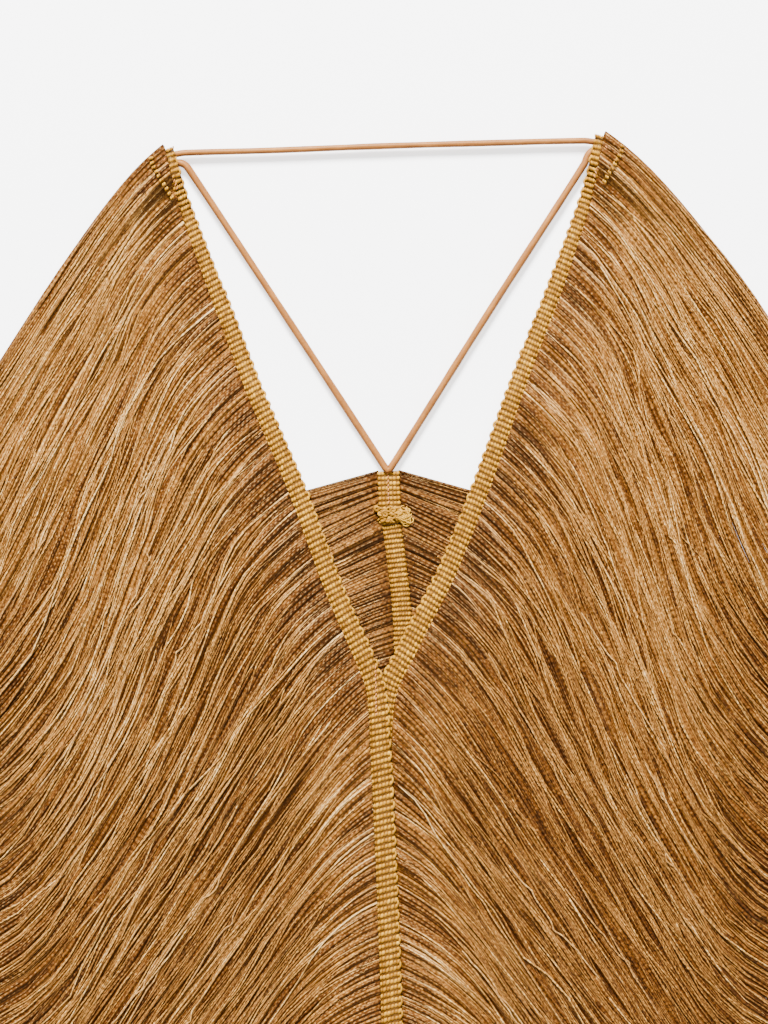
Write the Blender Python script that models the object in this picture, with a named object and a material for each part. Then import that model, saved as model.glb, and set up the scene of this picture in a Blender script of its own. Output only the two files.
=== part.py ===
# Fringed halter evening gown, laid flat on its back with the front up.
# Woven tapes carry long yarn fringe, and a round leather cord holds up the neck.

import cmath
import math

import bmesh
import bpy

MM = 0.001

# Sizes in millimetres. "Across" is +X and "down" runs from the highest shoulder tip to the hem.
GOWN_LENGTH = 1400.0
SIDE_TAPE_WIDTH = 11.0
BACK_TAPE_WIDTH = 11.6
TAPE_THICKNESS = 1.2
SEAM_GAP = 0.3
STRIP_WIDTH = 2.0
LOCK_THICKNESS = 1.6
LOCK_PARTING = 1.0
LOCK_RIDGE = 0.2
LOCK_TIP = 0.3
LOCK_END_GAP = 1.2
CORD_DIAMETER = 4.0
CORD_SPACING = 9.0
BEND_SPACING = 1.5
BEND_TURN = 0.05

# Height of the front layer's underside where the back lies below it, and of the spine's upper tape.
FRONT_LAYER = 2.1
LOCK_CLEARANCE = 0.2
SPINE_LIFT = 1.5
SPINE_CLIMB = (235.0, 275.0)
# The front layer comes down to the table this far above the back panel's top edge.
LAYER_RAMP = (45.0, 85.0)

# Width of a front tape, which curls a little near the shoulder: along the tape, width.
FRONT_TAPE_WIDTHS = ((0.0, (8.6,)), (60.0, (8.9,)), (290.0, (10.8,)), (345.0, (11.6,)), (1210.0, (11.6,)))

# Length of side tape that takes the yarns, and where the free fringe at the hem starts on it.
SIDE_LENGTH = 955.0
HEM_OUTER = 262.0
HEM_INNER = 4.0

# Centre lines of the tapes: across, down.
FRONT_TAPE_LEFT = (
    (-112.2, 7.9), (-106.4, 29.2), (-93.9, 62.6), (-81.8, 92.9), (-68.2, 128.8), (-45.4, 182.1),
    (-26.2, 233.4), (-7.2, 277.0), (-4.2, 290.0), (-3.1, 310.4), (-1.3, 341.1), (3.1, 456.1),
    (4.0, 560.0), (2.0, 760.0), (0.0, 960.0), (0.0, 1185.0),
)
FRONT_TAPE_RIGHT = (
    (111.6, 1.2), (105.4, 28.7), (93.4, 63.1), (84.6, 86.2), (70.3, 122.6), (50.3, 178.5),
    (32.8, 222.6), (21.0, 245.7), (10.5, 266.3), (1.8, 284.2), (-1.2, 310.4), (-0.3, 341.1),
    (4.1, 456.1), (5.0, 560.0), (3.0, 760.0), (1.0, 960.0), (1.0, 1185.0),
)
BACK_TAPE = (
    (1.8, 172.2), (2.6, 193.0), (4.6, 207.8), (7.7, 232.9), (9.5, 259.0), (10.0, 320.0),
    (8.0, 450.0), (4.0, 700.0), (0.0, 960.0), (0.0, 1185.0),
)
# Where the yarns of the left half end, from the sleeve's point past the waist and hip to the hem.
SIDE_LINE = (
    (-274.5, 246.2), (-243.7, 297.5), (-210.3, 371.9), (-197.5, 443.7), (-203.0, 520.0),
    (-222.0, 600.0), (-240.0, 680.0), (-250.0, 800.0), (-256.0, 950.0), (-260.0, 1190.0),
)

# How a tape's top end turns back under itself, round the cords: along the tape, height of its middle.
TIP_FOLD = (
    (24.0, 0.6), (12.0, 0.6), (3.5, 0.6), (2.05, 0.99), (0.99, 2.05), (0.6, 3.5), (0.99, 4.95),
    (2.05, 6.01), (3.5, 6.4), (12.8, 6.4), (19.2, 2.1), (24.6, 2.1), (32.0, 0.6),
)
TIP_FOLD_TOP = TIP_FOLD[8:]
# The centre back tape's raw end, folded flat to the front: along, height of its middle, swelling.
BACK_FOLD = (
    (23.0, 2.5, 1.15), (19.0, 2.75, 1.25), (16.0, 2.1, 1.0), (1.35, 2.1, 1.0), (0.82, 1.88, 1.0),
    (0.6, 1.35, 1.0), (0.82, 0.82, 1.0), (1.35, 0.6, 1.0),
)
# How much more the raw end swells in thickness than in width, and the first flat section past a fold.
SWELL_DEPTH = 4.0
FOLD_PARTING = 4.0

# Fall of the yarns: their angle below the level at these shares of their length.
YARN_SHARES = (0.0, 0.1, 0.2, 0.35, 0.5, 0.65, 0.8, 0.9, 1.0)
FRONT_FALL = (
    (0.0, (52, 52, 52.5, 53, 54, 57, 61, 61, 58)),
    (45.0, (38, 48, 56, 64, 74, 74, 50, 30, 15)),
    (110.0, (33, 46, 58, 66, 70, 68, 52, 30, 8)),
    (213.0, (30, 46, 58, 64, 65, 62, 52, 33, 0)),
    (300.0, (38, 48, 58, 63, 64, 62, 52, 34, 3)),
    (360.0, (30, 45, 57, 62, 63, 61, 52, 34, 4)),
    (480.0, (18, 42, 56, 62, 62, 60, 51, 33, 4)),
    (955.0, (16, 40, 54, 60, 60, 58, 50, 32, 4)),
)
FRONT_FREE_FALL = (
    (955.0, (16, 47, 57, 60, 53, 62, 88, 93, 93)),
    (1200.0, (75, 86, 88, 90, 90, 90, 90, 90, 90)),
)
BACK_FALL = (
    (0.0, (15, 15, 15, 15, 15, 15, 15, 15, 15)),
    (70.0, (4, 8, 13, 18, 20, 20, 17, 12, 6)),
    (250.0, (2, 12, 24, 34, 36, 32, 20, 8, 0)),
    (850.0, (2, 12, 22, 30, 32, 30, 20, 8, 0)),
)
BACK_FREE_FALL = (
    (850.0, (8, 26, 36, 44, 54, 66, 78, 84, 86)),
    (1013.0, (75, 86, 88, 90, 90, 90, 90, 90, 90)),
)
ROUTE_STEPS = 60
# Shares of its length at which a lock has a section, and by which it is down from its tape's height.
LOCK_SHARES = (0.12, 0.26, 0.42, 0.58, 0.74, 0.88, 1.0)
LOCK_DROP = 0.25

# Routes of the leather cord: across, down, height of its middle.
TOP_CORD_ROUTE = (
    (-114.6, 12.2, 3.5), (-111.2, 11.2, 3.5), (-107.1, 10.1, 3.5), (-102.5, 9.4, 3.5),
    (-60.0, 8.2, 3.5), (0.0, 5.9, 3.5), (60.0, 4.2, 3.5), (101.5, 3.2, 3.5), (106.6, 3.7, 3.5),
    (110.8, 4.6, 3.5), (114.4, 5.4, 3.5),
)
BACK_CORD_ROUTE = (
    (-113.4, 16.3, 3.5), (-110.1, 15.4, 3.5), (-106.6, 14.5, 3.5), (-102.9, 15.2, 3.5),
    (-100.2, 18.2, 3.5), (-49.2, 95.5, 3.1), (-4.4, 163.3, 2.6), (-1.7, 167.9, 2.6),
    (1.5, 169.8, 2.6), (4.7, 167.9, 2.6), (7.5, 163.3, 2.6), (52.9, 91.5, 3.1),
    (102.0, 15.2, 3.5), (103.9, 10.7, 3.5), (106.7, 8.1, 3.5), (109.9, 8.8, 3.5), (113.1, 9.5, 3.5),
)

YARN_GOLD = (0.44, 0.235, 0.075)
YARN_BROWN = (0.34, 0.17, 0.055)
TAPE_GOLD = (0.58, 0.36, 0.11)
LEATHER_TAN = (0.60, 0.33, 0.17)


def smooth_step(value, low, high):
    share = min(1.0, max(0.0, (value - low) / (high - low)))
    return share * share * (3.0 - 2.0 * share)


def read_rows(rows, value):
    """Read a table of (key, numbers) rows between its keys."""
    for (low, first), (high, second) in zip(rows, rows[1:]):
        if value <= high:
            break
    share = min(1.0, max(0.0, (value - low) / (high - low)))
    return [a + (b - a) * share for a, b in zip(first, second)]


class PlanLine:
    """A smooth line through points of the plan, read by the length along it."""

    def __init__(self, rows, steps=16):
        points = [complex(*row) for row in rows]
        spans = [abs(b - a) for a, b in zip(points, points[1:])]
        slopes = [(points[1] - points[0]) / spans[0]]
        for before, here, after, one, two in zip(points, points[1:], points[2:], spans, spans[1:]):
            slopes.append((after - before) / (one + two))
        slopes.append((points[-1] - points[-2]) / spans[-1])
        self.points = [points[0]]
        for i, span in enumerate(spans):
            for step in range(1, steps + 1):
                t = step / steps
                start = (1 + 2 * t) * (1 - t) ** 2 * points[i] + t * (1 - t) ** 2 * span * slopes[i]
                finish = t * t * (3 - 2 * t) * points[i + 1] + t * t * (t - 1) * span * slopes[i + 1]
                self.points.append(start + finish)
        self.lengths = [0.0]
        for a, b in zip(self.points, self.points[1:]):
            self.lengths.append(self.lengths[-1] + abs(b - a))
        self.length = self.lengths[-1]

    def at(self, length):
        index = 1
        while index < len(self.lengths) - 1 and self.lengths[index] < length:
            index += 1
        low, high = self.lengths[index - 1], self.lengths[index]
        share = (length - low) / (high - low)
        return self.points[index - 1] * (1 - share) + self.points[index] * share

    def heading(self, length):
        step = self.at(min(self.length, length + 2.0)) - self.at(max(0.0, length - 2.0))
        return step / abs(step)

    def beside(self, length, offset, side):
        """A point off the line, towards -X for side -1 and +X for side +1."""
        return self.at(length) - 1j * side * self.heading(length) * offset


front_left = PlanLine(FRONT_TAPE_LEFT)
front_right = PlanLine(FRONT_TAPE_RIGHT)
back_middle = PlanLine(BACK_TAPE)
side_left = PlanLine(SIDE_LINE)
side_right = PlanLine([(-across, down) for across, down in SIDE_LINE])


def above_back_edge(point):
    """How far a point lies above the back panel's top edge."""
    corner = complex(BACK_TAPE[0][0], BACK_TAPE[0][1])
    sleeve = complex(math.copysign(SIDE_LINE[0][0], point.real - corner.real), SIDE_LINE[0][1])
    along = (sleeve - corner) / abs(sleeve - corner)
    return -((point - corner) / along).imag * math.copysign(1.0, point.real - corner.real)


def front_layer(point):
    return FRONT_LAYER * (1.0 - smooth_step(above_back_edge(point), *LAYER_RAMP))


def front_right_height(length):
    """Underside of the right front tape, past its folded tip."""
    return front_layer(front_right.at(length))


def front_left_height(length):
    return front_layer(front_left.at(length)) + SPINE_LIFT * smooth_step(length, *SPINE_CLIMB)


def back_height(_length):
    return 0.0


PANELS = {
    "front_fringe_left": dict(
        line=front_left, side_line=side_left, side=-1, held=955.0, height=front_left_height,
        layer=front_layer, fall=FRONT_FALL, free_fall=FRONT_FREE_FALL, starts=(3.5, 17.5, 32.0),
        locks=(33, 10), tip_fold=True),
    "front_fringe_right": dict(
        line=front_right, side_line=side_right, side=1, held=955.0, height=front_right_height,
        layer=front_layer, fall=FRONT_FALL, free_fall=FRONT_FREE_FALL, starts=(3.5, 17.5, 32.0),
        locks=(33, 10), tip_fold=True),
    "back_fringe_left": dict(
        line=back_middle, side_line=side_left, side=-1, held=850.0, height=back_height,
        layer=lambda point: 0.0, fall=BACK_FALL, free_fall=BACK_FREE_FALL, starts=(0.0,),
        locks=(20, 7), tip_fold=False),
    "back_fringe_right": dict(
        line=back_middle, side_line=side_right, side=1, held=850.0, height=back_height,
        layer=lambda point: 0.0, fall=BACK_FALL, free_fall=BACK_FREE_FALL, starts=(0.0,),
        locks=(20, 7), tip_fold=False),
}


def tape_edge(panel, length):
    """Distance from the tape's centre line to its woven edge."""
    if panel["tip_fold"]:
        return read_rows(FRONT_TAPE_WIDTHS, length)[0] / 2
    return BACK_TAPE_WIDTH / 2


def lock_ends(panel):
    """Pairs of lengths along the tape between which each lock grows, held ones first."""
    held, free = panel["locks"]
    start, turn, end = panel["starts"][-1], panel["held"], panel["line"].length
    bounds = list(panel["starts"][:-1])
    bounds += [start + (turn - start) * i / held for i in range(held)]
    bounds += [turn + (end - turn) * i / free for i in range(free + 1)]
    return [(a + LOCK_PARTING, b - LOCK_PARTING) for a, b in zip(bounds, bounds[1:])]


def yarn_route(panel, length, free, shares):
    """Plan points of the yarn that leaves the tape at a length along it."""
    side = panel["side"]
    rows = panel["free_fall"] if free else panel["fall"]
    angles = read_rows(rows, length)
    root = panel["line"].beside(length, tape_edge(panel, length) + SEAM_GAP + STRIP_WIDTH, side)
    if free:
        rest = (length - panel["held"]) / (panel["line"].length - panel["held"])
        end = complex(side * (HEM_OUTER + (HEM_INNER - HEM_OUTER) * rest), GOWN_LENGTH)
    else:
        end = panel["side_line"].at(length / panel["held"] * SIDE_LENGTH)
    bends = list(zip(YARN_SHARES, [(angle,) for angle in angles]))
    run = [0j]
    for step in range(ROUTE_STEPS):
        angle = read_rows(bends, (step + 0.5) / ROUTE_STEPS)[0]
        run.append(run[-1] + cmath.exp(1j * math.radians(angle)))
    reach = complex(side * (end - root).real, (end - root).imag)
    turned = [place * reach / run[-1] for place in run]
    route = []
    for share in shares:
        index = min(ROUTE_STEPS - 1, int(share * ROUTE_STEPS))
        part = share * ROUTE_STEPS - index
        place = turned[index] * (1 - part) + turned[index + 1] * part
        route.append(root + complex(side * place.real, place.imag))
    return route


def world(point, height):
    return (point.real * MM, (GOWN_LENGTH / 2 - point.imag) * MM, height * MM)


def new_object(name, bm, color, roughness):
    bmesh.ops.recalc_face_normals(bm, faces=bm.faces)
    mesh = bpy.data.meshes.new(name)
    bm.to_mesh(mesh)
    bm.free()
    obj = bpy.data.objects.new(name, mesh)
    give_material(obj, color, roughness)
    return obj


def give_material(obj, color, roughness):
    material = bpy.data.materials.new(obj.name)
    material.use_nodes = True
    shader = material.node_tree.nodes["Principled BSDF"]
    shader.inputs["Base Color"].default_value = (*color, 1.0)
    shader.inputs["Roughness"].default_value = roughness
    shader.inputs["Metallic"].default_value = 0.0
    material.diffuse_color = (*color, 1.0)
    obj.data.materials.append(material)


def skin_rings(bm, rings):
    """Close a tube of four-cornered rings, with a face on each end."""
    for first, second in zip(rings, rings[1:]):
        for i in range(4):
            bm.faces.new((first[i], first[(i + 1) % 4], second[(i + 1) % 4], second[i]))
    bm.faces.new(rings[0])
    bm.faces.new(rings[-1])


def root_height(panel, length):
    """Underside of the tape's upper layer, which the strip and the roots follow."""
    height = panel["height"](length)
    if panel["tip_fold"]:
        for (a, low), (b, high) in zip(TIP_FOLD_TOP, TIP_FOLD_TOP[1:]):
            if a <= length <= b:
                middle = low + (high - low) * (length - a) / (b - a)
                return height + middle - TAPE_THICKNESS / 2
    return height


def build_fringe(name, panel, color):
    """A narrow strip beside the tape's edge, with the locks of yarn growing out of it."""
    bm = bmesh.new()
    line, side = panel["line"], panel["side"]
    ends = lock_ends(panel)
    sections = []
    for length in [value for pair in ends for value in pair]:
        low = root_height(panel, length)
        inner = tape_edge(panel, length) + SEAM_GAP
        outer = inner + STRIP_WIDTH
        corners = ((inner, 0.0), (outer, 0.0), (outer, TAPE_THICKNESS), (inner, TAPE_THICKNESS))
        sections.append([bm.verts.new(world(line.beside(length, offset, side), low + up))
                         for offset, up in corners])
    for i, (first, second) in enumerate(zip(sections, sections[1:])):
        is_lock = i % 2 == 0
        for corner in range(4):
            if is_lock and corner == 1:
                continue
            nxt = (corner + 1) % 4
            bm.faces.new((first[corner], first[nxt], second[nxt], second[corner]))
    bm.faces.new(sections[0])
    bm.faces.new(sections[-1])

    for number, (start, finish) in enumerate(ends):
        free = start > panel["held"]
        first, second = sections[2 * number], sections[2 * number + 1]
        ring = [first[1], second[1], second[2], first[2]]
        one = yarn_route(panel, start, free, LOCK_SHARES)
        two = yarn_route(panel, finish, free, LOCK_SHARES)
        lift = root_height(panel, start) - panel["layer"](line.at(start))
        for share, left, right in zip(LOCK_SHARES, one, two):
            pinch = LOCK_TIP if free and share == 1.0 else 0.0
            corners = ((pinch, 0.0), (1 - pinch, 0.0), (1 - LOCK_RIDGE - pinch * 0.5, LOCK_THICKNESS),
                       (LOCK_RIDGE + pinch * 0.5, LOCK_THICKNESS))
            raised = LOCK_CLEARANCE + lift * (1.0 - smooth_step(share, 0.0, LOCK_DROP))
            new_ring = []
            for across, up in corners:
                point = left + (right - left) * across
                if not free and share == 1.0:
                    point -= side * LOCK_END_GAP
                new_ring.append(bm.verts.new(world(point, panel["layer"](point) + raised + up)))
            for i in range(4):
                bm.faces.new((ring[i], ring[(i + 1) % 4], new_ring[(i + 1) % 4], new_ring[i]))
            ring = new_ring
        bm.faces.new(ring)
    return new_object(name, bm, color, 0.6)


def build_band(name, sections):
    """A woven tape from sections: middle, sideways direction, height, lean, half width, half thickness."""
    bm = bmesh.new()
    rings = []
    for middle, sideways, height, lean, half, thick in sections:
        along = sideways * 1j
        ring = []
        for across, up in ((-half, -thick), (half, -thick), (half, thick), (-half, thick)):
            point = middle + sideways * across - along * math.sin(lean) * up
            ring.append(bm.verts.new(world(point, height + math.cos(lean) * up)))
        rings.append(ring)
    skin_rings(bm, rings)
    return new_object(name, bm, TAPE_GOLD, 0.7)


def fold_sections(panel, fold):
    """Sections of a tape's folded end, from rows of length along, height and swelling."""
    line = panel["line"]
    sections = []
    last = len(fold) - 1
    for i, row in enumerate(fold):
        before, after = fold[max(0, i - 1)], fold[min(last, i + 1)]
        lean = math.atan2(after[1] - before[1], after[0] - before[0])
        swell = row[2] if len(row) == 3 else 1.0
        half = tape_edge(panel, row[0]) * swell
        thick = TAPE_THICKNESS / 2 * (1 + SWELL_DEPTH * (swell - 1))
        sections.append((line.at(row[0]), -1j * line.heading(row[0]), row[1], lean, half, thick))
    return sections


def flat_sections(panel, lengths):
    """Sections of a tape that lies flat."""
    line = panel["line"]
    sections = []
    for length in lengths:
        middle = panel["height"](length) + TAPE_THICKNESS / 2
        sideways = -1j * line.heading(length)
        sections.append((line.at(length), sideways, middle, 0.0, tape_edge(panel, length), TAPE_THICKNESS / 2))
    return sections


def stations(panel, first):
    """Lengths at which a tape's sections stand, shared with the strip beside it."""
    lengths = [value for pair in lock_ends(panel) for value in pair if value > first]
    return lengths[:-1] + [panel["line"].length]


def build_tapes():
    tapes = []
    for side in ("left", "right"):
        panel = PANELS["front_fringe_" + side]
        sections = fold_sections(panel, TIP_FOLD)
        sections += flat_sections(panel, stations(panel, TIP_FOLD[-1][0] + FOLD_PARTING))
        tapes.append(build_band("front_tape_" + side, sections))
    panel = PANELS["back_fringe_left"]
    sections = fold_sections(panel, BACK_FOLD)
    sections += flat_sections(panel, stations(panel, BACK_FOLD[0][0] + FOLD_PARTING))
    tapes.append(build_band("back_tape", sections))
    for layer, height in (("back", 0.0), ("front", TAPE_THICKNESS + SEAM_GAP)):
        for side in ("left", "right"):
            tapes.append(build_side_tape("side_tape_" + layer + "_" + side, side, height))
    return tapes


def build_side_tape(name, side, height):
    panel = PANELS["front_fringe_" + side]
    line = panel["side_line"]
    half, thick = SIDE_TAPE_WIDTH / 2, TAPE_THICKNESS / 2
    lengths = [0.0] + [start for start, _ in lock_ends(panel) if 4.0 < start < panel["held"]]
    sections = []
    for length in lengths + [SIDE_LENGTH]:
        middle = line.beside(length, half + SEAM_GAP, panel["side"])
        sections.append((middle, -1j * line.heading(length), height + thick, 0.0, half, thick))
    return build_band(name, sections)


def build_cord(name, route):
    """A round leather cord along a smooth line through its route."""
    plan = PlanLine([(across, down) for across, down, _ in route])
    marks = [0.0]
    for (ax, ay, _), (bx, by, _) in zip(route, route[1:]):
        marks.append(marks[-1] + abs(complex(bx, by) - complex(ax, ay)))
    heights = list(zip([mark / marks[-1] for mark in marks], [(row[2],) for row in route]))
    lengths = []
    length = 0.0
    while length < plan.length:
        lengths.append(length)
        turn = abs(plan.heading(min(plan.length, length + 4.0)) - plan.heading(length))
        length += CORD_SPACING if turn < BEND_TURN else BEND_SPACING
    if plan.length - lengths[-1] < 1.0:
        lengths.pop()
    lengths.append(plan.length)
    curve = bpy.data.curves.new(name, "CURVE")
    curve.dimensions = "3D"
    curve.bevel_depth = CORD_DIAMETER / 2 * MM
    curve.bevel_resolution = 2
    curve.use_fill_caps = True
    spline = curve.splines.new("POLY")
    spline.points.add(len(lengths) - 1)
    for point, length in zip(spline.points, lengths):
        height = read_rows(heights, length / plan.length)[0]
        point.co = (*world(plan.at(length), height), 1.0)
    obj = bpy.data.objects.new(name, curve)
    give_material(obj, LEATHER_TAN, 0.55)
    return obj


def main():
    for obj in list(bpy.data.objects):
        bpy.data.objects.remove(obj)
    parts = bpy.data.collections.new("fringed_halter_evening_gown")
    bpy.context.scene.collection.children.link(parts)
    pieces = build_tapes()
    for name, panel in PANELS.items():
        color = YARN_GOLD if name.startswith("front") else YARN_BROWN
        pieces.append(build_fringe(name, panel, color))
    pieces.append(build_cord("halter_cord_top", TOP_CORD_ROUTE))
    pieces.append(build_cord("halter_cord_back", BACK_CORD_ROUTE))
    for obj in pieces:
        parts.objects.link(obj)


main()
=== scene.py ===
# Fringed halter evening gown, laid flat: its yarns, woven tapes and leather cords
import math
import bpy
import numpy as np
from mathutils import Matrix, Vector


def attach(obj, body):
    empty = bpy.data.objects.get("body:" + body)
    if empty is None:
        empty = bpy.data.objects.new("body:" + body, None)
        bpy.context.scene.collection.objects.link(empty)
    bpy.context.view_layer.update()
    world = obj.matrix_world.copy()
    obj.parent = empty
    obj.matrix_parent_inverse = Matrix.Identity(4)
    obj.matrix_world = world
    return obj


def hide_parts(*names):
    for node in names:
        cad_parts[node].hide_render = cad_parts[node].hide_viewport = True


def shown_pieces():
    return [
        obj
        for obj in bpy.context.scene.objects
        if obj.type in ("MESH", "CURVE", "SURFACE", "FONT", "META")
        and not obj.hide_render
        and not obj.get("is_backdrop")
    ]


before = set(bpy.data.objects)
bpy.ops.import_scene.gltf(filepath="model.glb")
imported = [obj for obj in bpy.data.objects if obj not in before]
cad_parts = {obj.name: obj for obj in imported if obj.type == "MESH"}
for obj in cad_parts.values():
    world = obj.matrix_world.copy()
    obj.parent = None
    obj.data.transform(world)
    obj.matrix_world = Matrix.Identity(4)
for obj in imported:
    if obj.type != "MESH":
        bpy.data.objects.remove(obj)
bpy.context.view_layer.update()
mm = 0.001
gownLength = 1400.0    # from the higher shoulder tip to the hem

print("stage: lines of the pattern")

# plan of the tapes in millimetres: across, down from the higher tip
frontLeftRows = (
    (-112.2, 7.9), (-106.4, 29.2), (-93.9, 62.6), (-81.8, 92.9), (-68.2, 128.8), (-45.4, 182.1),
    (-26.2, 233.4), (-7.2, 277.0), (-4.2, 290.0), (-3.1, 310.4), (-1.3, 341.1), (3.1, 456.1),
    (4.0, 560.0), (2.0, 760.0), (0.0, 960.0), (0.0, 1185.0))
frontRightRows = (
    (111.6, 1.2), (105.4, 28.7), (93.4, 63.1), (84.6, 86.2), (70.3, 122.6), (50.3, 178.5),
    (32.8, 222.6), (21.0, 245.7), (10.5, 266.3), (1.8, 284.2), (-1.2, 310.4), (-0.3, 341.1),
    (4.1, 456.1), (5.0, 560.0), (3.0, 760.0), (1.0, 960.0), (1.0, 1185.0))
backRows = (
    (1.8, 172.2), (2.6, 193.0), (4.6, 207.8), (7.7, 232.9), (9.5, 259.0), (10.0, 320.0),
    (8.0, 450.0), (4.0, 700.0), (0.0, 960.0), (0.0, 1185.0))
sideRows = (
    (-274.5, 246.2), (-243.7, 297.5), (-210.3, 371.9), (-197.5, 443.7), (-203.0, 520.0),
    (-222.0, 600.0), (-240.0, 680.0), (-250.0, 800.0), (-256.0, 950.0), (-260.0, 1190.0))
sideLength = 955.0     # how much side tape takes yarns
hemOuter, hemInner = 262.0, 4.0    # each half of the hem, from its side to the middle

# fall of the yarns below the level, in degrees, at shares of their length
fallShares = (0.0, 0.1, 0.2, 0.35, 0.5, 0.65, 0.8, 0.9, 1.0)
edgeFallLeft = (0.0, (38, 49, 53.5, 57, 57.5, 58.5, 60, 60, 58))
edgeFallRight = (0.0, (34, 44, 50, 54, 57, 62, 66, 67, 66))
frontFall = (
    (45.0, (38, 54, 64, 58, 66, 66, 53, 42, 30)),
    (75.0, (34, 50, 64, 61, 68, 57, 47, 36, 24)),
    (110.0, (32, 46, 59, 65, 67, 58, 46, 36, 20)),
    (160.0, (32, 45, 57, 58, 62, 59, 50, 41, 21)),
    (213.0, (33, 44, 61, 62, 58, 52, 53, 42, 21)),
    (255.0, (32, 50, 58, 58, 55, 57, 54, 42, 21)),
    (300.0, (42, 54, 57, 59, 56, 57, 53, 42, 21)),
    (330.0, (42, 56, 58, 57, 56, 56, 52, 42, 21)),
    (360.0, (36, 55, 58, 59, 58, 56, 51, 41, 20)),
    (420.0, (28, 45, 60, 60, 58, 56, 50, 40, 18)),
    (480.0, (22, 42, 57, 60, 59, 57, 50, 38, 16)),
    (955.0, (16, 40, 55, 60, 59, 57, 50, 36, 12)))
# the yarns past the end of the side tape fall free to the hem
frontFreeFall = (
    (955.0, (16, 47, 57, 60, 53, 62, 88, 93, 93)),
    (1200.0, (75, 86, 88, 90, 90, 90, 90, 90, 90)))
backFall = (
    (0.0, (15, 15, 15, 15, 15, 15, 15, 15, 15)),
    (20.0, (26, 29, 22, 14, 11, 10, 10, 12, 14)),
    (70.0, (18, 24, 24, 19, 16, 14, 12, 10, 6)),
    (250.0, (2, 12, 24, 34, 36, 32, 20, 8, 0)),
    (850.0, (2, 12, 22, 30, 32, 30, 20, 8, 0)))
backFreeFall = (
    (850.0, (8, 26, 36, 44, 54, 66, 78, 84, 86)),
    (1013.0, (75, 86, 88, 90, 90, 90, 90, 90, 90)))


def smoothStep(value, low, high):
    share = np.clip((np.asarray(value, float) - low) / (high - low), 0.0, 1.0)
    return share * share * (3.0 - 2.0 * share)


def fadeOut(value, low, high):
    return 1 - smoothStep(value, low, high)


def readTable(table, lengths):
    # values between the rows of a short table of lengths and values
    return np.interp(lengths, *zip(*table))


def smoothLine(rows, steps=16):
    # the same smooth curve through the points as the solids have
    points = [complex(*row) for row in rows]
    spans = [abs(b - a) for a, b in zip(points, points[1:])]
    slopes = [(points[1] - points[0]) / spans[0]]
    for before, after, one, two in zip(points, points[2:], spans, spans[1:]):
        slopes.append((after - before) / (one + two))
    slopes.append((points[-1] - points[-2]) / spans[-1])
    places = [points[0]]
    for i, span in enumerate(spans):
        for step in range(1, steps + 1):
            t = step / steps
            start = (1 + 2 * t) * (1 - t) ** 2 * points[i] + t * (1 - t) ** 2 * span * slopes[i]
            finish = t * t * (3 - 2 * t) * points[i + 1] + t * t * (t - 1) * span * slopes[i + 1]
            places.append(start + finish)
    places = np.array(places)
    lengths = np.concatenate([[0.0], np.cumsum(np.abs(np.diff(places)))])
    return {"places": places, "lengths": lengths, "length": lengths[-1]}


def pointAt(line, lengths):
    across = np.interp(lengths, line["lengths"], line["places"].real)
    down = np.interp(lengths, line["lengths"], line["places"].imag)
    return across + 1j * down


def headingAt(line, lengths):
    ahead = np.minimum(line["length"], np.asarray(lengths) + 2.0)
    behind = np.maximum(0.0, np.asarray(lengths) - 2.0)
    step = pointAt(line, ahead) - pointAt(line, behind)
    return step / np.abs(step)


frontLeft = smoothLine(frontLeftRows)
frontRight = smoothLine(frontRightRows)
backMiddle = smoothLine(backRows)
sideLeft = smoothLine(sideRows)
sideRight = smoothLine([(-across, down) for across, down in sideRows])


# the front lies this high over the back, and comes down to the table above the back's top edge
overBack = {"rise": 2.1, "fullTo": 45.0, "goneAt": 85.0}


def frontLayer(points):
    corner = complex(*backRows[0])
    side = np.where(points.real < corner.real, -1.0, 1.0)
    sleeve = side * abs(sideRows[0][0]) + 1j * sideRows[0][1]
    along = (sleeve - corner) / np.abs(sleeve - corner)
    above = -((points - corner) / along).imag * side
    return overBack["rise"] * fadeOut(above, overBack["fullTo"], overBack["goneAt"])


def backLayer(points):
    return np.zeros(points.shape)


def toWorld(points, heights):
    return np.stack([points.real * mm, (gownLength / 2 - points.imag) * mm, heights * mm], axis=-1)


def toWorldStep(steps):
    # a short step in plan, as a vector of the world
    flat = np.zeros(len(steps))
    return toWorld(steps, flat) - toWorld(np.zeros(len(steps), complex), flat)


def toUnit(vectors):
    return vectors / np.linalg.norm(vectors, axis=1, keepdims=True)


def makePiece(name, points, faceGroups, values=None, uv=None):
    # one mesh from arrays of points and of faces of the same size
    mesh = bpy.data.meshes.new(name)
    mesh.vertices.add(len(points))
    mesh.vertices.foreach_set("co", points.astype(np.float32).ravel())
    corners = np.concatenate([group.ravel() for group in faceGroups]).astype(np.int32)
    sizes = np.concatenate([np.full(len(group), group.shape[1]) for group in faceGroups])
    starts = np.concatenate([[0], np.cumsum(sizes)[:-1]]).astype(np.int32)
    mesh.loops.add(len(corners))
    mesh.loops.foreach_set("vertex_index", corners)
    mesh.polygons.add(len(sizes))
    mesh.polygons.foreach_set("loop_start", starts)
    mesh.update(calc_edges=True)
    # the groups after the first are cut ends, flat so that they don't shade the sides
    mesh.polygons.foreach_set("use_smooth", np.arange(len(sizes)) < len(faceGroups[0]))
    for key, value in (values or {}).items():
        layer = mesh.attributes.new(key, "FLOAT", "POINT")
        layer.data.foreach_set("value", value.astype(np.float32).ravel())
    if uv is not None:
        layer = mesh.uv_layers.new(name="UVMap")
        layer.data.foreach_set("uv", uv[corners].astype(np.float32).ravel())
    obj = bpy.data.objects.new(name, mesh)
    bpy.context.scene.collection.objects.link(obj)
    return obj


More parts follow.
